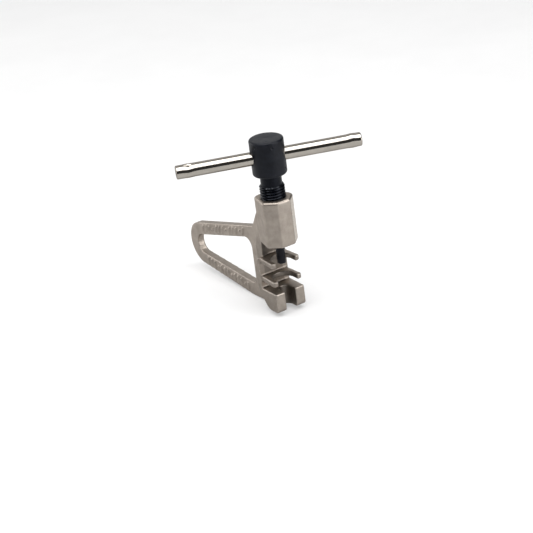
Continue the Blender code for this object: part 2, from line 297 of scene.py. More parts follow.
class Net:
    """A node tree that is wired up by short calls."""

    def __init__(self, tree: bpy.types.NodeTree) -> None:
        """Take the tree that nodes are added to."""
        self.tree = tree

    def node(self, kind: str, **settings: object) -> bpy.types.Node:
        """Add a node.

        Args:
            kind: The node's type name without its ShaderNode prefix.
            **settings: Its properties.

        Returns:
            The node.
        """
        node = self.tree.nodes.new("ShaderNode" + kind)
        for name, value in settings.items():
            setattr(node, name, value)
        return node

    def feed(self, socket: bpy.types.NodeSocket, value: object) -> None:
        """Wire an output into a socket, or set the socket to a number or colour.

        Args:
            socket: The socket.
            value: The output, number or colour.
        """
        if isinstance(value, bpy.types.NodeSocket):
            self.tree.links.new(value, socket)
        else:
            socket.default_value = value

    def math(self, operation: str, first: object, second: object = 0.0) -> bpy.types.NodeSocket:
        """The result of a Math node.

        Args:
            operation: The node's operation.
            first: A number or an output.
            second: A number or an output.

        Returns:
            The node's output.
        """
        node = self.node("Math", operation=operation)
        self.feed(node.inputs[0], first)
        self.feed(node.inputs[1], second)
        return node.outputs[0]

    def product(self, first: object, *others: object) -> object:
        """The product of several numbers or outputs.

        Args:
            first: The first of them.
            *others: The rest.

        Returns:
            The output of the last Math node.
        """
        for other in others:
            first = self.math("MULTIPLY", first, other)
        return first

    def span(self, value: object, source: Point, target: Point) -> bpy.types.NodeSocket:
        """A value carried from one clamped range to another.

        Args:
            value: The value.
            source: Its range.
            target: The range it is carried to.

        Returns:
            The carried value.
        """
        node = self.node("MapRange", clamp=True)
        for socket, number in zip(node.inputs, (value, *source, *target)):
            self.feed(socket, number)
        return node.outputs[0]

    def noise(self, vector: object, scale: object, detail: float,
              roughness: float = 0.55) -> bpy.types.NodeSocket:
        """The factor of a noise texture.

        Args:
            vector: Where it is read.
            scale: Its scale.
            detail: Its number of octaves.
            roughness: How strong the finer octaves are.

        Returns:
            The factor.
        """
        node = self.node("TexNoise")
        self.feed(node.inputs["Vector"], vector)
        self.feed(node.inputs["Scale"], scale)
        self.feed(node.inputs["Detail"], detail)
        self.feed(node.inputs["Roughness"], roughness)
        return node.outputs["Fac"]

    def blend(self, share: object, first: object, second: object) -> bpy.types.NodeSocket:
        """A colour between two colours.

        Args:
            share: How much of the second there is.
            first: The first colour.
            second: The second colour.

        Returns:
            The mixed colour.
        """
        node = self.node("Mix", data_type="RGBA")
        self.feed(node.inputs["Factor"], share)
        self.feed(node.inputs["A"], first)
        self.feed(node.inputs["B"], second)
        return node.outputs["Result"]


def new_group(name: str, inputs: dict[str, float],
              outputs: list[str]) -> tuple[Net, dict, dict]:
    """Start a shader node group.

    Args:
        name: The group's name.
        inputs: Its number inputs and their defaults. "Place" is a vector.
        outputs: Its number outputs.

    Returns:
        The net, its input sockets by name and its output sockets by name.
    """
    tree = bpy.data.node_groups.new(name, "ShaderNodeTree")
    for label, default in inputs.items():
        kind = "NodeSocketVector" if label == "Place" else "NodeSocketFloat"
        socket = tree.interface.new_socket(label, in_out="INPUT", socket_type=kind)
        if kind == "NodeSocketFloat":
            socket.default_value = default
    for label in outputs:
        tree.interface.new_socket(label, in_out="OUTPUT", socket_type="NodeSocketFloat")
    given = tree.nodes.new("NodeGroupInput")
    result = tree.nodes.new("NodeGroupOutput")
    named_in = {label: given.outputs[label] for label in inputs}
    named_out = {label: result.inputs[label] for label in outputs}
    return Net(tree), named_in, named_out


def grain_group() -> bpy.types.NodeTree:
    """Fine pits and soft lumps of a cast or matt surface, and a patchy tone.

    Returns:
        The node group.
    """
    inputs = {"Place": 0.0, "Scale": 2600.0, "Patch": 160.0}
    net, given, result = new_group("surface_grain", inputs, ["Height", "Tone"])
    pit_share, lump_share, lump_scale, patch_range = 0.45, 0.75, 0.22, (0.32, 0.68)
    fine = net.noise(given["Place"], given["Scale"], 3.0, 0.6)
    lumps = net.noise(given["Place"], net.math("MULTIPLY", given["Scale"], lump_scale), 2.0)
    mixed = net.math("ADD", net.math("MULTIPLY", fine, pit_share),
                     net.math("MULTIPLY", lumps, lump_share))
    net.feed(result["Height"], mixed)
    patch = net.noise(given["Place"], given["Patch"], 4.0)
    net.feed(result["Tone"], net.span(patch, patch_range, (0.0, 1.0)))
    return net.tree


def wear_and_shade_group() -> bpy.types.NodeTree:
    """Masks that are 1 on rubbed outer edges and, as painted shade, in inner corners, with broken-up
    borders.

    Returns:
        The node group.
    """
    inputs = {"Place": 0.0, "Sharpness": 0.5, "Start": 0.52, "Full": 0.6}
    net, given, result = new_group("edge_wear_and_crease_shade", inputs, ["Mask", "CreaseShade"])
    break_scale, shake, inner_corner, crease_shade_share = 900.0, 0.02, (0.485, 0.41), 0.85
    broken = net.noise(given["Place"], break_scale, 3.0)
    shaken = net.math("ADD", given["Sharpness"], net.span(broken, (0.3, 0.7), (-shake, shake)))
    span = net.math("SUBTRACT", given["Full"], given["Start"])
    share = net.math("DIVIDE", net.math("SUBTRACT", shaken, given["Start"]), span)
    net.feed(result["Mask"], net.span(share, (0.0, 1.0), (0.0, 1.0)))
    # The inner-corner mask paints shade into creases and hollows.
    net.feed(result["CreaseShade"], net.span(shaken, inner_corner, (0.0, crease_shade_share)))
    return net.tree


def lathe_group() -> bpy.types.NodeTree:
    """Fine rings that a turning tool leaves round the Z axis, on sides and on end faces.

    Returns:
        The node group.
    """
    net, given, result = new_group("lathe_rings", {"Place": 0.0, "Scale": 5000.0}, ["Height"])
    split = net.node("SeparateXYZ")
    net.feed(split.inputs[0], given["Place"])
    across = net.math("POWER", split.outputs["X"], 2.0)
    along = net.math("POWER", split.outputs["Y"], 2.0)
    radius = net.math("SQRT", net.math("ADD", across, along))
    place = net.node("CombineXYZ")
    net.feed(place.inputs["X"], radius)
    net.feed(place.inputs["Z"], split.outputs["Z"])
    net.feed(result["Height"], net.noise(place.outputs[0], given["Scale"], 2.0, 0.7))
    return net.tree


class Groups:
    """The node groups that the finishes share, each built once."""

    def __init__(self) -> None:
        """Build the groups."""
        self.grain = grain_group()
        self.wear = wear_and_shade_group()
        self.lathe = lathe_group()


class Coat:
    """A material that is started, with its shader and its Object coordinates at hand."""

    def __init__(self, name: str, metallic: float) -> None:
        """Make the material.

        Args:
            name: Its name.
            metallic: How metallic it is all over.
        """
        self.material = bpy.data.materials.new(name)
        self.material.use_nodes = True
        self.net = Net(self.material.node_tree)
        self.shader = self.material.node_tree.nodes["Principled BSDF"]
        self.shader.inputs["Metallic"].default_value = metallic
        self.place = self.net.node("TexCoord").outputs["Object"]

    def use(self, group: bpy.types.NodeTree, **values: object) -> bpy.types.Node:
        """Place a shared group.

        Args:
            group: The group.
            **values: Its inputs.

        Returns:
            The group node.
        """
        node = self.net.node("Group", node_tree=group)
        self.net.feed(node.inputs["Place"], values.pop("Place", self.place))
        for label, value in values.items():
            self.net.feed(node.inputs[label], value)
        return node

    def set(self, **values: object) -> None:
        """Feed the shader's sockets; an underscore in a name stands for a space."""
        for label, value in values.items():
            self.net.feed(self.shader.inputs[label.replace("_", " ")], value)

    def bump(self, height: object, depth: float, strength: float = 1.0) -> None:
        """Raise the surface.

        Args:
            height: The height, from 0 to 1.
            depth: How deep it is, in metres.
            strength: How much of it shows.
        """
        node = self.net.node("Bump")
        node.inputs["Strength"].default_value = strength
        node.inputs["Distance"].default_value = depth
        self.net.feed(node.inputs["Height"], height)
        self.net.feed(self.shader.inputs["Normal"], node.outputs["Normal"])


def opaque(colour: Colour) -> tuple[float, float, float, float]:
    """A colour with full alpha."""
    return (*colour, 1.0)


@dataclass(frozen=True)
class CastNickel:
    """Satin nickel plate over a fine investment-cast grain, rubbed bright on its edges.

    Painted shade darkens the plate round the chain slots, in the roller pocket and in the anvil's
    groove, and less so on faces that look up.
    The limits of the painted shade are metres, and it fades in or out between the two numbers of a
    pair.
    """

    tone: Colour = (0.420, 0.370, 0.324)
    dull: Colour = (0.332, 0.292, 0.255)
    rubbed: Colour = (0.74, 0.685, 0.615)
    # Colour of the painted shade in inner corners.
    crease_shade: Colour = (0.085, 0.072, 0.060)
    edge_tint: Colour = (0.86, 0.84, 0.82)
    wear: Point = (0.53, 0.62)
    satin: Point = (0.46, 0.38)
    edge_polish: float = 0.14
    grain_scale: float = 2300.0
    patch_scale: float = 340.0
    grain_depth: float = 0.00005
    chain_shade: float = 0.20
    shade_top: Point = (0.0070, 0.0095)
    shade_back: Point = (-0.0140, -0.0098)
    shade_front: Point = (0.0030, 0.0034)
    shade_past_front: float = 0.15
    pocket_shade: float = 0.48
    pocket_sides: Point = (0.0038, 0.0046)
    pocket_back: Point = (-0.0070, -0.0067)
    pocket_front: Point = (0.0005, 0.0026)
    pocket_floor: Point = (-0.0104, -0.0100)
    groove_shade: float = 0.52
    groove_sides: Point = (0.0021, 0.0026)
    groove_back: Point = (-0.0034, -0.0022)
    groove_top: Point = (-0.0103, -0.0099)
    facing_up: Point = (0.55, 0.90)
    shade_facing_up: float = 0.25

    def painted_shade_mask(self, net: Net) -> bpy.types.NodeSocket:
        """How much painted shade darkens the plate round the chain, in the pocket and in the groove.

        Args:
            net: The material's net.

        Returns:
            The share of light that the painted shade takes away.
        """
        where = net.node("TexCoord")
        split, lie = net.node("SeparateXYZ"), net.node("SeparateXYZ")
        net.feed(split.inputs[0], where.outputs["Object"])
        net.feed(lie.inputs[0], where.outputs["Normal"])
        x, y, z = split.outputs
        aside = net.math("ABSOLUTE", y)
        low = net.span(z, self.shade_top, (1.0, 0.0))
        round_chain = net.product(low, net.span(x, self.shade_back, (0.0, self.chain_shade)),
                                  net.span(x, self.shade_front, (1.0, self.shade_past_front)))
        in_pocket = net.product(low, net.span(aside, self.pocket_sides, (1.0, 0.0)),
                                net.span(x, self.pocket_back, (0.0, self.pocket_shade)),
                                net.span(x, self.pocket_front, (1.0, 0.0)),
                                net.span(z, self.pocket_floor, (0.0, 1.0)))
        in_groove = net.product(net.span(aside, self.groove_sides, (self.groove_shade, 0.0)),
                                net.span(x, self.groove_back, (0.0, 1.0)),
                                net.span(z, self.groove_top, (1.0, 0.0)),
                                net.span(x, self.shade_front, (1.0, 0.0)))
        # Faces that look up get less of the painted shade, as if lit from above.
        lit_top = net.span(lie.outputs["Z"], self.facing_up, (1.0, self.shade_facing_up))
        deeper = net.math("MAXIMUM", in_pocket, in_groove)
        return net.product(lit_top, net.math("MAXIMUM", round_chain, deeper))

    def material(self, groups: Groups) -> bpy.types.Material:
        """Build the material.

        Args:
            groups: The shared node groups.

        Returns:
            The material.
        """
        coat = Coat("cast_nickel", 1.0)
        net = coat.net
        coat.set(Specular_Tint=opaque(self.edge_tint))
        grain = coat.use(groups.grain, Scale=self.grain_scale, Patch=self.patch_scale)
        pointed = net.node("NewGeometry").outputs["Pointiness"]
        start, full = self.wear
        edges = coat.use(groups.wear, Sharpness=pointed, Start=start, Full=full)
        wear = edges.outputs["Mask"]
        plain = net.blend(grain.outputs["Tone"], opaque(self.dull), opaque(self.tone))
        # Painted shade: the plate is blended towards black round the chain, in the pocket and in the
        # groove.
        chain_shaded = net.blend(self.painted_shade_mask(net), plain, opaque((0.0, 0.0, 0.0)))
        # Painted shade: inner corners are blended towards a dark brown.
        crease_shaded = net.blend(edges.outputs["CreaseShade"], chain_shaded, opaque(self.crease_shade))
        coat.set(Base_Color=net.blend(wear, crease_shaded, opaque(self.rubbed)))
        satin = net.span(grain.outputs["Tone"], (0.0, 1.0), self.satin)
        polish = net.math("MULTIPLY", wear, self.edge_polish)
        coat.set(Roughness=net.math("SUBTRACT", satin, polish))
        coat.bump(grain.outputs["Height"], self.grain_depth)
        return coat.material


@dataclass(frozen=True)
class BlackOxide:
    """Black oxide on turned steel: lathe rings, a faint mottle and greyer rubbed edges, which are
    partly wear and partly a painted highlight on the thread's crests.

    The thread is oiled, and the neck is darker than the head as painted shade under the head, up to the
    heights given in metres.
    """

    tone: Colour = (0.0014, 0.0023, 0.0055)
    faded: Colour = (0.0068, 0.0085, 0.0138)
    # Grey of rubbed edges and crests: partly wear, partly a painted highlight.
    rubbed: Colour = (0.12, 0.125, 0.14)
    wear: Point = (0.59, 0.78)
    wear_and_highlight_share: float = 0.5
    satin: Point = (0.36, 0.48)
    oiled_below: float = 0.0312
    oil_gloss: float = 0.26
    dark_below: float = 0.0353
    metallic: float = 0.2
    dark_metallic: float = 0.35
    specular: float = 0.27
    grain_scale: float = 4200.0
    patch_scale: float = 420.0
    ring_scale: float = 5200.0
    grain_share: float = 0.4
    ring_depth: float = 0.000006

    def material(self, groups: Groups) -> bpy.types.Material:
        """Build the material.

        Args:
            groups: The shared node groups.

        Returns:
            The material.
        """
        coat = Coat("black_oxide_steel", self.metallic)
        net = coat.net
        grain = coat.use(groups.grain, Scale=self.grain_scale, Patch=self.patch_scale)
        rings = coat.use(groups.lathe, Scale=self.ring_scale).outputs["Height"]
        pointed = net.node("NewGeometry").outputs["Pointiness"]
        start, full = self.wear
        edges = coat.use(groups.wear, Sharpness=pointed, Start=start, Full=full)
        # Grey on edges and thread crests: partly wear, partly a painted highlight.
        rubbed = net.math("MULTIPLY", edges.outputs["Mask"], self.wear_and_highlight_share)
        plain = net.blend(grain.outputs["Tone"], opaque(self.tone), opaque(self.faded))
        coat.set(Base_Color=net.blend(rubbed, plain, opaque(self.rubbed)))
        satin = net.span(grain.outputs["Tone"], (0.0, 1.0), self.satin)
        split = net.node("SeparateXYZ")
        net.feed(split.inputs[0], coat.place)
        oil = net.math("LESS_THAN", split.outputs["Z"], self.oiled_below)
        gloss = net.math("MULTIPLY", oil, self.oil_gloss)
        coat.set(Roughness=net.math("SUBTRACT", satin, gloss))
        # Painted shade: below the head the higher metallic darkens the neck and thread.
        dark = net.math("LESS_THAN", split.outputs["Z"], self.dark_below)
        extra = net.math("MULTIPLY", dark, self.dark_metallic)
        coat.set(Metallic=net.math("ADD", extra, self.metallic), Specular_IOR_Level=self.specular)
        lumps = net.math("MULTIPLY", grain.outputs["Height"], self.grain_share)
        coat.bump(net.math("ADD", rings, lumps), self.ring_depth)
        return coat.material


@dataclass(frozen=True)
class PolishedNickel:
    """Polished nickel plate with fine scratches along the bar and faint smears."""

    tone: Colour = (0.50, 0.465, 0.418)
    smear: Colour = (0.44, 0.410, 0.366)
    edge_tint: Colour = (0.28, 0.25, 0.22)
    angle: float = BAR_ANGLE
    scratch_length: float = 26.0
    scratch_scale: float = 5200.0
    scratch_depth: float = 0.000002
    streaks: Point = (0.0, 0.035)
    haze: Point = (0.07, 0.11)
    grain_scale: float = 900.0
    patch_scale: float = 210.0

    def material(self, groups: Groups) -> bpy.types.Material:
        """Build the material.

        Args:
            groups: The shared node groups.

        Returns:
            The material.
        """
        coat = Coat("polished_nickel_bar", 1.0)
        net = coat.net
        coat.set(Specular_Tint=opaque(self.edge_tint))
        turn = net.node("Mapping", vector_type="TEXTURE")
        net.feed(turn.inputs["Vector"], coat.place)
        turn.inputs["Rotation"].default_value = (0.0, 0.0, self.angle)
        turn.inputs["Scale"].default_value = (self.scratch_length, 1.0, 1.0)
        scratches = net.noise(turn.outputs[0], self.scratch_scale, 2.0, 0.7)
        grain = coat.use(groups.grain, Scale=self.grain_scale, Patch=self.patch_scale)
        coat.set(Base_Color=net.blend(grain.outputs["Tone"], opaque(self.tone), opaque(self.smear)))
        streaks = net.span(scratches, (0.35, 0.7), self.streaks)
        haze = net.span(grain.outputs["Tone"], (0.0, 1.0), self.haze)
        coat.set(Roughness=net.math("ADD", streaks, haze))
        coat.bump(scratches, self.scratch_depth)
        return coat.material


@dataclass(frozen=True)
class HardenedSteel:
    """Black hardened pin steel, ground round and lightly rubbed."""

    tone: Colour = (0.005, 0.005, 0.008)
    worn: Colour = (0.011, 0.011, 0.015)
    satin: Point = (0.32, 0.46)
    specular: float = 0.2
    ring_scale: float = 8000.0
    ring_depth: float = 0.000006
    grain_scale: float = 5000.0
    patch_scale: float = 500.0

    def material(self, groups: Groups) -> bpy.types.Material:
        """Build the material.

        Args:
            groups: The shared node groups.

        Returns:
            The material.
        """
        coat = Coat("hardened_pin_steel", 0.3)
        net = coat.net
        rings = coat.use(groups.lathe, Scale=self.ring_scale).outputs["Height"]
        grain = coat.use(groups.grain, Scale=self.grain_scale, Patch=self.patch_scale)
        coat.set(Base_Color=net.blend(grain.outputs["Tone"], opaque(self.tone), opaque(self.worn)))
        coat.set(Roughness=net.span(rings, (0.3, 0.7), self.satin), Specular_IOR_Level=self.specular)
        coat.bump(rings, self.ring_depth)
        return coat.material


@dataclass(frozen=True)
class SpringWire:
    """Bright drawn spring wire."""

    tone: Colour = (0.46, 0.45, 0.43)
    dark: Colour = (0.33, 0.32, 0.31)
    satin: Point = (0.24, 0.36)
    grain_scale: float = 6000.0
    patch_scale: float = 900.0
    grain_depth: float = 0.000005

    def material(self, groups: Groups) -> bpy.types.Material:
        """Build the material.

        Args:
            groups: The shared node groups.

        Returns:
            The material.
        """
        coat = Coat("drawn_spring_wire", 1.0)
        net = coat.net
        grain = coat.use(groups.grain, Scale=self.grain_scale, Patch=self.patch_scale)
        coat.set(Base_Color=net.blend(grain.outputs["Tone"], opaque(self.tone), opaque(self.dark)))
        coat.set(Roughness=net.span(grain.outputs["Height"], (0.3, 0.8), self.satin))
        coat.bump(grain.outputs["Height"], self.grain_depth)
        return coat.material


@dataclass(frozen=True)
class StudioFloor:
    """A pale matt sweep of paper, which glows less in the tool's reflections than when seen."""

    tone: Colour = (0.58, 0.58, 0.58)
    fibre: Colour = (0.56, 0.56, 0.56)
    glow: float = 0.56
    mirrored_glow: float = 0.0
    matt: float = 0.9
    grain_scale: float = 700.0
    patch_scale: float = 30.0

    def material(self, groups: Groups) -> bpy.types.Material:
        """Build the material.

        Args:
            groups: The shared node groups.

        Returns:
            The material.
        """
        coat = Coat("pale_paper", 0.0)
        net = coat.net
        grain = coat.use(groups.grain, Scale=self.grain_scale, Patch=self.patch_scale)
        seen = net.node("LightPath").outputs["Is Camera Ray"]
        coat.set(Base_Color=net.blend(grain.outputs["Tone"], opaque(self.tone), opaque(self.fibre)),
                 Roughness=self.matt, Emission_Color=opaque(self.tone),
                 Emission_Strength=net.span(seen, (0.0, 1.0), (self.mirrored_glow, self.glow)))
        return coat.material


# ---------------------------------------------------------------- pieces


def finish_piece(shape: bpy.types.Object, name: str, material: bpy.types.Material, body: Body,
                 node: str, sharp: float = 35.0) -> bpy.types.Object:
    """Scale a piece to metres, dress it and tie it to its body.

    Args:
        shape: The piece, with its mesh in millimetres.
        name: Its name.
        material: Its finish.
        body: The body it rides on.
        node: The CAD node that it stands for.
        sharp: Edges sharper than this many degrees stay crisp.

    Returns:
        The finished piece.
    """
    shape.name = name
    shape.data.name = name
    shape.data.transform(Matrix.Scale(MM, 4))
    shape.data.materials.clear()
    shape.data.materials.append(material)
    shape.data.shade_smooth()
    shape.data.set_sharp_from_angle(angle=math.radians(sharp))
    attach(shape, body.value)
    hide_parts(node)
    LOG.info("%s: %d faces on %s", name, len(shape.data.polygons), body.value)
    return shape


@dataclass
class FrameCasting:
    """The one-piece body: finger loop, chain cradles, anvil, column and threaded boss.

    A corner is its place and the radius of its round. The loop, block, column and web are drawn in XZ,
    and the boss in XY.
    """

    thread: Thread
    voxel: float = 0.243
    softening: int = 3
    pocket_radius: float = 4.25
    drive_cradle_z: float = -6.6
    loosen_cradle_z: float = 0.8
    cradle_thickness: float = 2.0
    cradle_tip: Corner = (2.9, 6.2, 0.9)
    cradle_root: float = 5.7
    slot_back_x: float = -6.3
    block_half_width: float = 6.3
    block_back: tuple[Corner, ...] = ((-9.4, -3.0, 4.0), (-8.8, -11.5, 5.0), (-3.2, -18.2, 4.5))
    block_round: Point = (1.5, 1.6)
    column_half_width: float = 3.9
    column_front: tuple[Point, ...] = ((-6.65, -11.0), (-6.65, 9.0), (-5.0, 9.0), (-5.0, 20.0))
    column_back: tuple[Corner, ...] = ((-8.6, 12.5, 6.0), (-10.8, 5.0, 6.0), (-10.8, -3.0, 4.0),
                                       (-8.6, -11.0, 0.0))
    web_front: tuple[Point, ...] = ((-7.5, -12.0), (-7.5, 17.0))
    web_step: float = 1.4
    anvil_top_z: float = -10.4
    anvil_bottom_z: float = -18.2
    anvil_front_x: float = 3.4
    groove_width: float = 4.6
    groove_end_x: float = -2.3
    boss_bottom_z: float = 8.4
    boss_top_z: float = 26.4
    boss_chamfer: float = 0.55
    boss_foot: Point = (0.3, 0.4)
    boss_front: tuple[Corner, Corner] = ((6.75, 2.8, 0.5), (2.8, 6.75, 1.6))
    boss_back: Corner = (-6.5, 4.7, 2.0)
    mouth_depth: float = 0.8
    mouth_flare: float = 0.6
    plate_half: float = 1.5
    loop_end: Point = (-56.0, -8.3)
    loop_end_radius: float = 8.6
    loop_sweep: Point = (264, 104)
    gusset: tuple[Point, ...] = ((-15.4, 10.7), (-12.0, 16.5), (-6.0, 24.4), (-5.2, 24.4),
                                 (-5.2, 9.0), (-8.0, 9.0), (-8.0, -12.0), (-4.0, -12.0),
                                 (-4.0, -18.2), (-14.0, -19.3), (-21.0, -19.6))
    hole_end_shift: Point = (0.6, -0.1)
    hole_end_radius: float = 3.9
    hole_sweep: Point = (266, 105)
    hole_front: tuple[Corner, Corner] = ((-17.9, 5.4, 3.6), (-17.9, -14.3, 3.0))
    rib_size: Point = (0.85, 3.0)
    rib_height: float = 0.6
    rib_count: int = 13
    dot_every: int = 4
    upper_ribs: tuple[Point, Point, float] = ((-53.6, -1.25), (-23.0, 6.35), -14.0)
    lower_ribs: tuple[Point, Point, float] = ((-52.5, -14.75), (-24.0, -16.75), 4.0)
    margin: float = 3.0

    def loop_plate(self) -> bpy.types.Object:
        """The finger loop with the gusset that runs up the back of the boss.

        Returns:
            The plate.
        """
        half = self.plate_half
        outline = arc(self.loop_end, self.loop_end_radius, *self.loop_sweep, 40) + list(self.gusset)
        plate = prism("loop_plate", outline, -half, half, True)
        centre = tuple(at + shift for at, shift in zip(self.loop_end, self.hole_end_shift))
        corners = [(x, z, 0.0) for x, z in arc(centre, self.hole_end_radius, *self.hole_sweep, 24)]
        corners += self.hole_front
        hole = prism("loop_hole", rounded(corners), -2 * half, 2 * half, True)
        combine(plate, hole, Meeting.CUT)
        return plate

    def block(self) -> bpy.types.Object:
        """The wide block seen from the side, before its slots are cut.

        Returns:
            The block.
        """
        top = self.loosen_cradle_z + self.cradle_thickness / 2
        top_round, bottom_round = self.block_round
        corners = [(-7.2, top, top_round), *self.block_back,
                   (self.anvil_front_x, self.anvil_bottom_z, bottom_round),
                   (self.anvil_front_x, top, 0.0)]
        half = self.block_half_width
        return prism("block", rounded(corners), -half, half, True)

    def column(self) -> bpy.types.Object:
        """The narrow column between the block and the boss, with the web that backs it.

        Returns:
            The column.
        """
        half = self.column_half_width
        corners = [(x, z, 0.0) for x, z in self.column_front] + list(self.column_back)
        post = prism("column", rounded(corners), -half, half, True)
        half = (half + self.plate_half) / 2
        corners = [(x, z, 0.0) for x, z in self.web_front]
        corners += [(x - self.web_step, z, radius) for x, z, radius in self.column_back]
        combine(post, prism("web", rounded(corners), -half, half, True), Meeting.JOIN)
        return post

    def boss(self) -> bpy.types.Object:
        """The faceted nut-like boss, with its upper and lower edges chamfered.

        Returns:
            The boss.
        """
        bm = bmesh.new()
        loops = []
        foot_inset, foot_rise = self.boss_foot
        levels = ((foot_inset, self.boss_bottom_z), (0.0, self.boss_bottom_z + foot_rise),
                  (0.0, self.boss_top_z - self.boss_chamfer), (self.boss_chamfer, self.boss_top_z))
        for inset, z in levels:
            slant = inset * 0.7
            right = [(x - slant, y - slant, radius) for x, y, radius in self.boss_front]
            x, y, radius = self.boss_back
            right.append((x + inset, y - inset, radius))
            left = [(x, -y, radius) for x, y, radius in reversed(right)]
            verts = [bm.verts.new((x, y, z)) for x, y in rounded(right + left)]
            loops.append([bm.edges.new((verts[side - 1], verts[side])) for side in range(len(verts))])
        for lower, upper in zip(loops, loops[1:]):
            bmesh.ops.bridge_loops(bm, edges=lower + upper)
        bmesh.ops.holes_fill(bm, edges=loops[0] + loops[-1])
        return to_object("boss", bm)

    def cut_chain_space(self, casting: bpy.types.Object) -> None:
        """Cut the slots and the roller pocket, and trim the cradle teeth.

        Args:
            casting: The block, which is changed.
        """
        wide = self.block_half_width + self.margin
        front = self.anvil_front_x + self.margin
        shelf = self.cradle_thickness / 2
        slot = [(front, -wide), (front, wide), (self.slot_back_x, wide), (self.slot_back_x, -wide)]
        for low, high in ((self.anvil_top_z, self.drive_cradle_z - shelf),
                          (self.drive_cradle_z + shelf, self.loosen_cradle_z - shelf)):
            combine(casting, prism("slot", slot, low, high, False), Meeting.CUT)
        back, root, (tip_x, tip_y, tip_round) = self.slot_back_x, self.cradle_root, self.cradle_tip
        corners = [(back, -wide, 0.0), (front, -wide, 0.0), (front, wide, 0.0), (back, wide, 0.0),
                   (back, root, 0.0), (tip_x, tip_y, tip_round), (tip_x, -tip_y, tip_round),
                   (back, -root, 0.0)]
        low, high = self.drive_cradle_z - shelf, self.loosen_cradle_z + shelf
        combine(casting, prism("trim", rounded(corners), low - 0.1, high + 0.1, False), Meeting.CUT)
        radius = self.pocket_radius
        outline = arc((0, 0), radius, 90, 270, 40) + [(front, -radius), (front, radius)]
        combine(casting, prism("pocket", outline, low - shelf, high + shelf, False), Meeting.CUT)

    def anvil_groove(self) -> bpy.types.Object:
        """The groove down the anvil's front that a chain rivet is driven into.

        Returns:
            The groove as a solid.
        """
        half = self.groove_width / 2
        front = self.anvil_front_x + self.margin
        outline = arc((self.groove_end_x + half, 0), half, 90, 270, 24)
        outline += [(front, -half), (front, half)]
        low, high = self.anvil_bottom_z - self.margin, self.anvil_top_z + 1.0
        return prism("groove", outline, low, high, False)

    def rib(self, x: float, z: float, lean: float, length: float) -> bpy.types.Object:
        """One raised rib with round ends that stands proud of both faces of the loop.

        Args:
            x: Where its middle is.
            z: Where its middle is.
            lean: Its lean from upright, in degrees.
            length: Its length.

        Returns:
            The rib.
        """
        radius = self.rib_size[0] / 2
        reach = max(length / 2 - radius, 0.0)
        outline = arc((0, reach), radius, 0, 180, 8) + arc((0, -reach), radius, 180, 360, 8)
        turn = Matrix.Rotation(math.radians(lean), 2)
        points = [tuple(turn @ Vector(point) + Vector((x, z))) for point in outline]
        half = self.plate_half + self.rib_height
        return prism("rib", points, -half, half, True)

    def raise_pattern(self, casting: bpy.types.Object) -> None:
        """Add a plain pattern of leaning ribs and dots along both bars of the loop.

        Args:
            casting: The casting, which is changed.
        """
        dot, rib = self.rib_size
        for (x0, z0), (x1, z1), lean in (self.upper_ribs, self.lower_ribs):
            for index in range(self.rib_count):
                share = index / (self.rib_count - 1)
                length = dot if index % self.dot_every == self.dot_every - 1 else rib
                place = (x0 + (x1 - x0) * share, z0 + (z1 - z0) * share)
                combine(casting, self.rib(*place, lean, length), Meeting.JOIN)

    def soften(self, casting: bpy.types.Object) -> None:
        """Give the casting one even skin whose edges and inner corners are softly rounded.

        Args:
            casting: The casting, which is changed.
        """
        remesh = casting.modifiers.new("skin", "REMESH")
        remesh.mode = "VOXEL"
        remesh.voxel_size = self.voxel
        keep_result(casting)
        bm = bmesh.new()
        bm.from_mesh(casting.data)
        for _ in range(self.softening):
            bmesh.ops.smooth_vert(bm, verts=bm.verts, factor=0.5, use_axis_x=True,
                                  use_axis_y=True, use_axis_z=True)
        bm.to_mesh(casting.data)
        bm.free()

    def cut_thread(self, casting: bpy.types.Object) -> None:
        """Cut the threaded hole and its countersunk mouth in the boss.

        Args:
            casting: The casting, which is changed.
        """
        grown = self.thread.clearance
        low, high = self.boss_bottom_z, self.boss_top_z
        combine(casting, self.thread.rod("hole", grown, low, high), Meeting.CUT)
        crest = self.thread.major_radius + grown
        foot, top = high - self.mouth_depth, high + self.mouth_depth / 2
        root, rim = crest - self.thread.depth, crest + self.mouth_flare
        mouth = [(0, foot), (root, foot), (rim, top), (0, top)]
        combine(casting, turned("mouth", mouth), Meeting.CUT)

    def build(self) -> bpy.types.Object:
        """Shape the casting.

        Returns:
            The casting in millimetres.
        """
        casting = self.block()
        self.cut_chain_space(casting)
        for part in (self.column(), self.boss(), self.loop_plate()):
            combine(casting, part, Meeting.JOIN)
        combine(casting, self.anvil_groove(), Meeting.CUT)
        self.raise_pattern(casting)
        self.soften(casting)
        self.cut_thread(casting)
        return casting

    def dress(self, material: bpy.types.Material) -> bpy.types.Object:
        """Build the casting and give it its finish."""
        return finish_piece(self.build(), "cast_frame", material, Body.FRAME, "frame_casting",
                            50.0)


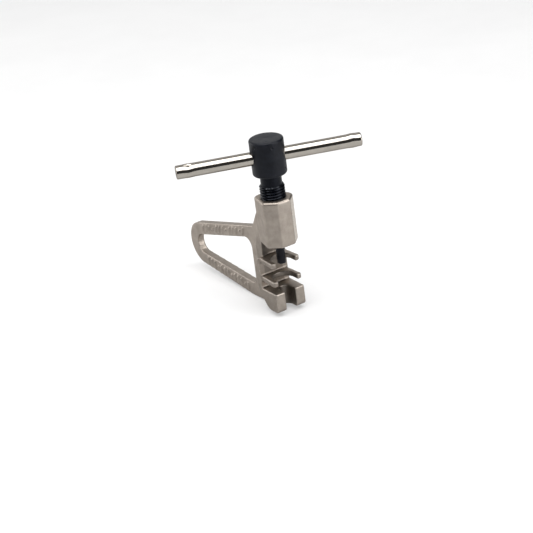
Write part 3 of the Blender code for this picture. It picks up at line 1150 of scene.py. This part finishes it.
@dataclass
class TeeBar:
    """The sliding bar, with a punch mark near each end that keeps it in the head.

    A mark is a dent with sloping sides, and the bar swells sideways round it.
    """

    radius: float = 5.0 / 2
    length: float = 68.3
    angle: float = BAR_ANGLE
    shift: float = 0.42
    z: float = 42.1
    hole_radius: float = 2.62
    end_round: float = 0.45
    stakes_from_ends: Point = (4.5, 3.5)
    punch_lean: float = math.radians(18.0)
    mark_size: Point = (1.6, 0.95)
    mark_slope: float = 2.0
    dent: float = 0.42
    swelling: float = 1.5
    bulge: float = 0.25
    fine_reach: float = 2.4
    fine_rings: int = 20

    def place(self) -> Matrix:
        """The turn and shift that carry a shape on the Z axis onto the bar's axis."""
        turn = Matrix.Rotation(self.angle, 4, "Z") @ Matrix.Rotation(math.pi / 2, 4, "Y")
        return Matrix.Translation((0, 0, self.z)) @ turn @ Matrix.Translation((0, 0, self.shift))

    def hole(self, reach: float) -> bpy.types.Object:
        """The cross hole that the bar slides in.

        Args:
            reach: Its length.

        Returns:
            The hole as a solid.
        """
        edge = self.hole_radius
        profile = [(0, -reach / 2), (edge, -reach / 2), (edge, reach / 2), (0, reach / 2)]
        bm = revolved(profile, 64)
        bmesh.ops.transform(bm, matrix=self.place(), verts=bm.verts)
        return to_object("cross_hole", bm)

    def profile(self) -> list[Point]:
        """Half of the bar's section, with closer rings where it is staked.

        Returns:
            (radius, z) points from end to end.
        """
        half = self.length / 2
        corner = arc((self.radius - self.end_round, 0), self.end_round, 0, 90, 6)
        left, right = self.stakes_from_ends
        rings = range(-self.fine_rings, self.fine_rings + 1)
        fine = [self.fine_reach * ring / self.fine_rings for ring in rings]
        levels = [left - half + step for step in fine]
        levels += [5.0 * step for step in range(-5, 6)]
        levels += [half - right + step for step in fine]
        points = [(0.0, -half)] + [(r, -half + self.end_round - drop) for r, drop in reversed(corner)]
        points += [(self.radius, level) for level in levels]
        return points + [(r, half - self.end_round + rise) for r, rise in corner] + [(0.0, half)]

    def stake(self, bm: bmesh.types.BMesh) -> None:
        """Press a punch mark near each end, one from above and one from the far side.

        The bar runs along Z and its upper side faces -X until it is placed.

        Args:
            bm: The bar's mesh.
        """
        left, right = self.stakes_from_ends
        near = Vector((-math.cos(self.punch_lean), -math.sin(self.punch_lean), 0.0))
        far = Vector((-math.sin(self.punch_lean), math.cos(self.punch_lean), 0.0))
        long, wide = self.mark_size
        for centre, punch in ((left - self.length / 2, near), (self.length / 2 - right, far)):
            beside = punch.cross((0, 0, 1))
            for vert in bm.verts:
                along = vert.co.z - centre
                share = math.exp(-(along / self.swelling) ** 2)
                if share < 0.01:
                    continue
                aside = vert.co.dot(beside)
                mark = 1.0 - abs(along) / long - abs(aside) / wide
                vert.co += beside * (self.bulge * share * aside / self.radius)
                if vert.co.dot(punch) > 0.0:
                    depth = min(max(mark * self.mark_slope, 0.0), 1.0)
                    vert.co -= punch * (self.dent * depth)

    def build(self) -> bpy.types.Object:
        """Shape the bar.

        Returns:
            The bar in millimetres.
        """
        bm = revolved(self.profile(), 96)
        self.stake(bm)
        bmesh.ops.transform(bm, matrix=self.place(), verts=bm.verts)
        return to_object("tee_bar", bm)

    def dress(self, material: bpy.types.Material) -> bpy.types.Object:
        """Build the bar and give it its finish."""
        return finish_piece(self.build(), "sliding_tee_bar", material, Body.HANDLE, "tee_bar",
                            40.0)


@dataclass
class DriveScrew:
    """The feed screw: thread, relief neck and cylindrical head in one turned piece."""

    thread: Thread
    bar: TeeBar
    nose_z: float = 11.4
    thread_end_z: float = 30.9
    neck_radius: float = 3.95
    head_radius: float = 6.35
    head_bottom_z: float = 35.4
    head_top_z: float = 49.0
    head_round: float = 0.75
    shoulder: float = 0.3
    dish: tuple[Point, ...] = ((3.08, 0.03), (0.5, 0.05), (0.0, 0.12))
    marks: tuple[Corner, ...] = ((-15.0, 46.9, 0.95), (-80.0, 46.9, 0.75), (33.0, 37.9, 0.6))
    mark_reach: float = 0.72
    bore_radius: float = 2.75
    bore_top_z: float = 16.8
    ring_groove_radius: float = 3.15
    ring_groove: Point = (13.9, 14.9)

    def shank(self) -> bpy.types.Object:
        """The threaded length, with a chamfered lead at its nose.

        Returns:
            The shank.
        """
        top = self.thread_end_z + 0.5
        rod = self.thread.rod("shank", -self.thread.clearance, self.nose_z, top)
        outer = self.thread.major_radius - self.thread.clearance + 0.3
        lead = self.thread.depth + 0.3
        blank = turned("blank", [(0, self.nose_z), (outer - lead, self.nose_z),
                                 (outer, self.nose_z + lead), (outer, top - lead),
                                 (outer - lead, top), (0, top)])
        combine(rod, blank, Meeting.KEEP_INSIDE)
        return rod

    def head(self) -> bpy.types.Object:
        """The head with rolled edges, on its relief neck.

        Returns:
            The head.
        """
        step = self.shoulder
        edge = self.head_radius - self.head_round
        low_z, high_z = self.head_bottom_z + self.head_round, self.head_top_z - self.head_round
        low = arc((edge, low_z), self.head_round, -90, 0, 8)
        side = [(self.head_radius, low_z + step), (self.head_radius, high_z - step)]
        high = arc((edge, high_z), self.head_round, 0, 90, 8)
        foot, top = self.thread_end_z, self.head_bottom_z - step
        levels = (foot, foot + step, foot + 2 * step, top - step, top)
        neck = [(0, foot)] + [(self.neck_radius, z) for z in levels]
        neck.append((self.neck_radius + step, self.head_bottom_z))
        face = [(radius, self.head_top_z - drop) for radius, drop in self.dish]
        return turned("head", neck + low + side + high + face, 128)

    def bore(self) -> bpy.types.Object:
        """The hollow nose that holds the pin's flange and the snap ring.

        Returns:
            The hollow as a solid.
        """
        low, high = self.ring_groove
        wide, deep = self.bore_radius, self.ring_groove_radius
        foot = self.nose_z - 1
        profile = [(0, foot), (wide, foot), (wide, low), (deep, low), (deep, high), (wide, high),
                   (wide, self.bore_top_z), (0, self.bore_top_z)]
        return turned("bore", profile, 64)

    def punch_marks(self, screw: bpy.types.Object) -> None:
        """Leave small round punch marks on the head's side.

        Args:
            screw: The screw, which is changed.
        """
        for degrees, z, size in self.marks:
            bm = bmesh.new()
            bmesh.ops.create_icosphere(bm, subdivisions=3, radius=size)
            place = direction(degrees, 0.0) * (self.head_radius + size * self.mark_reach)
            bmesh.ops.translate(bm, vec=place + Vector((0, 0, z)), verts=bm.verts)
            combine(screw, to_object("punch", bm), Meeting.CUT)

    def build(self) -> bpy.types.Object:
        """Shape the screw.

        Returns:
            The screw in millimetres.
        """
        screw = self.shank()
        combine(screw, self.head(), Meeting.JOIN)
        combine(screw, self.bore(), Meeting.CUT)
        combine(screw, self.bar.hole(2.4 * self.head_radius), Meeting.CUT)
        self.punch_marks(screw)
        return screw

    def dress(self, material: bpy.types.Material) -> bpy.types.Object:
        """Build the screw and give it its finish."""
        return finish_piece(self.build(), "feed_screw", material, Body.SCREW, "drive_screw")


@dataclass
class DrivePin:
    """The loose pin: a slim shank with a flange inside the screw's nose."""

    radius: float = 1.65
    tip_round: float = 0.22
    flange_radius: float = 2.55
    flange: Point = (15.3, 16.5)
    flange_round: float = 0.1

    def build(self) -> bpy.types.Object:
        """Shape the pin.

        Returns:
            The pin in millimetres.
        """
        edge = self.radius - self.tip_round
        low, high = self.flange
        tip = arc((edge, self.tip_round), self.tip_round, -90, 0, 6)
        outer, step = self.flange_radius, self.flange_round
        rest = [(self.radius, low), (outer - step, low), (outer, low + step),
                (outer, high - step), (outer - step, high), (0, high)]
        return turned("pin", [(0, 0)] + tip + rest, 64)

    def dress(self, material: bpy.types.Material) -> bpy.types.Object:
        """Build the pin and give it its finish."""
        return finish_piece(self.build(), "rivet_pin", material, Body.PIN, "drive_pin")


@dataclass
class SnapRing:
    """The round-wire ring that keeps the pin in the screw's nose."""

    radius: float = 2.6
    wire_radius: float = 0.35
    z: float = 14.4
    gap: float = math.radians(50.0)

    def build(self) -> bpy.types.Object:
        """Shape the ring.

        Returns:
            The ring in millimetres.
        """
        bm = bmesh.new()
        upright = Matrix.Rotation(math.pi / 2, 4, "X")
        wire = bmesh.ops.create_circle(bm, cap_ends=True, segments=16, radius=self.wire_radius,
                                       matrix=upright)
        bmesh.ops.translate(bm, vec=(self.radius, 0, self.z), verts=wire["verts"])
        bmesh.ops.spin(bm, geom=bm.faces[:], cent=(0, 0, 0), axis=(0, 0, 1),
                       angle=2 * math.pi - self.gap, steps=64)
        return to_object("ring", bm)

    def dress(self, material: bpy.types.Material) -> bpy.types.Object:
        """Build the ring and give it its finish."""
        return finish_piece(self.build(), "snap_ring", material, Body.SCREW, "pin_retaining_ring")


# ---------------------------------------------------------------- studio


@dataclass(frozen=True)
class SoftLight:
    """A rectangular soft light that faces the tool, placed by angles in degrees and metres."""

    name: str
    azimuth: float
    elevation: float
    distance: float
    size: Point
    radiance: float
    colour: Colour = (1.0, 1.0, 1.0)

    def build(self, target: Vector) -> None:
        """Hang the light.

        Args:
            target: The point that it faces.
        """
        light = bpy.data.lights.new(self.name, "AREA")
        light.shape = "RECTANGLE"
        light.size, light.size_y = self.size
        light.energy = self.radiance * math.pi * self.size[0] * self.size[1]
        light.color = self.colour
        lamp = bpy.data.objects.new(self.name, light)
        away = direction(self.azimuth, self.elevation)
        lamp.location = target + away * self.distance
        lamp.rotation_euler = away.to_track_quat("Z", "Y").to_euler()
        bpy.context.scene.collection.objects.link(lamp)


@dataclass
class Studio:
    """Floor, world, soft lights and camera."""

    lamps: tuple[SoftLight, ...] = (
        SoftLight("overhead", -24.0, 75.0, 0.60, (1.0, 0.66), 3.4),
        SoftLight("far_panel", 156.0, 28.0, 0.62, (0.9, 0.74), 0.66),
        SoftLight("side_left", -140.0, 10.0, 0.55, (0.45, 0.40), 2.6),
        SoftLight("side_right", 27.0, 8.0, 0.55, (0.34, 0.40), 4.0))
    lit_place: Corner = (-0.01, 0.0, 0.01)
    floor_z: float = -19.75
    floor_radius: float = 0.75
    world_level: float = 0.05
    backdrop: float = 0.62
    camera_distance: float = 0.650
    camera_azimuth: float = -30.5
    camera_elevation: float = 24.0
    camera_roll: float = -7.7
    aim_shift: Point = (-6.467, 4.370)
    aim_z: float = -6.6
    focal_share: float = 1755.0 / 533.0
    sensor: float = 36.0

    def floor(self, material: bpy.types.Material) -> None:
        """Lay the round floor just under the tool.

        Args:
            material: Its finish.
        """
        bm = bmesh.new()
        bmesh.ops.create_circle(bm, cap_ends=True, segments=96, radius=self.floor_radius / MM)
        bmesh.ops.translate(bm, vec=(0, 0, self.floor_z), verts=bm.verts)
        ground = to_object("floor", bm)
        ground.data.transform(Matrix.Scale(MM, 4))
        ground.data.materials.append(material)

    def world(self) -> None:
        """Make a room that is nearly black in reflections and pale where it is seen past the floor."""
        world = bpy.data.worlds.new("studio")
        world.use_nodes = True
        net = Net(world.node_tree)
        background = world.node_tree.nodes["Background"]
        background.inputs["Color"].default_value = (1.0, 1.0, 1.0, 1.0)
        seen = net.node("LightPath").outputs["Is Camera Ray"]
        level = net.span(seen, (0.0, 1.0), (self.world_level, self.backdrop))
        net.feed(background.inputs["Strength"], level)
        bpy.context.scene.world = world

    def lights(self) -> None:
        """Hang the overhead light, the far panel and the two side lights."""
        for lamp in self.lamps:
            lamp.build(Vector(self.lit_place))

    def camera(self) -> None:
        """Set up the camera, with its slight roll."""
        back = direction(self.camera_azimuth, self.camera_elevation)
        right = Vector((0, 0, 1)).cross(back).normalized()
        up = back.cross(right)
        roll = math.radians(self.camera_roll)
        rolled_right = right * math.cos(roll) + up * math.sin(roll)
        rolled_up = up * math.cos(roll) - right * math.sin(roll)
        shift = rolled_right * self.aim_shift[0] + rolled_up * self.aim_shift[1]
        place = (shift + Vector((0, 0, self.aim_z))) * MM + back * self.camera_distance
        data = bpy.data.cameras.new("camera")
        data.sensor_width = self.sensor
        data.lens = self.focal_share * self.sensor
        data.clip_start = 0.01
        camera = bpy.data.objects.new("camera", data)
        axes = Matrix((rolled_right, rolled_up, back)).transposed().to_4x4()
        camera.matrix_world = Matrix.Translation(place) @ axes
        bpy.context.scene.collection.objects.link(camera)
        bpy.context.scene.camera = camera

    def build(self, material: bpy.types.Material) -> None:
        """Build the whole studio.

        Args:
            material: The floor's finish.
        """
        self.floor(material)
        self.world()
        self.lights()
        self.camera()
        bpy.context.scene.view_settings.view_transform = "Standard"


def main() -> None:
    """Build the pieces and the studio."""
    logging.basicConfig(level=logging.INFO, format="%(message)s")
    groups = Groups()
    thread = Thread()
    bar = TeeBar()
    FrameCasting(thread).dress(CastNickel().material(groups))
    DriveScrew(thread, bar).dress(BlackOxide().material(groups))
    bar.dress(PolishedNickel().material(groups))
    DrivePin().dress(HardenedSteel().material(groups))
    SnapRing().dress(SpringWire().material(groups))
    Studio().build(StudioFloor().material(groups))


if __name__ == "__main__":
    main()
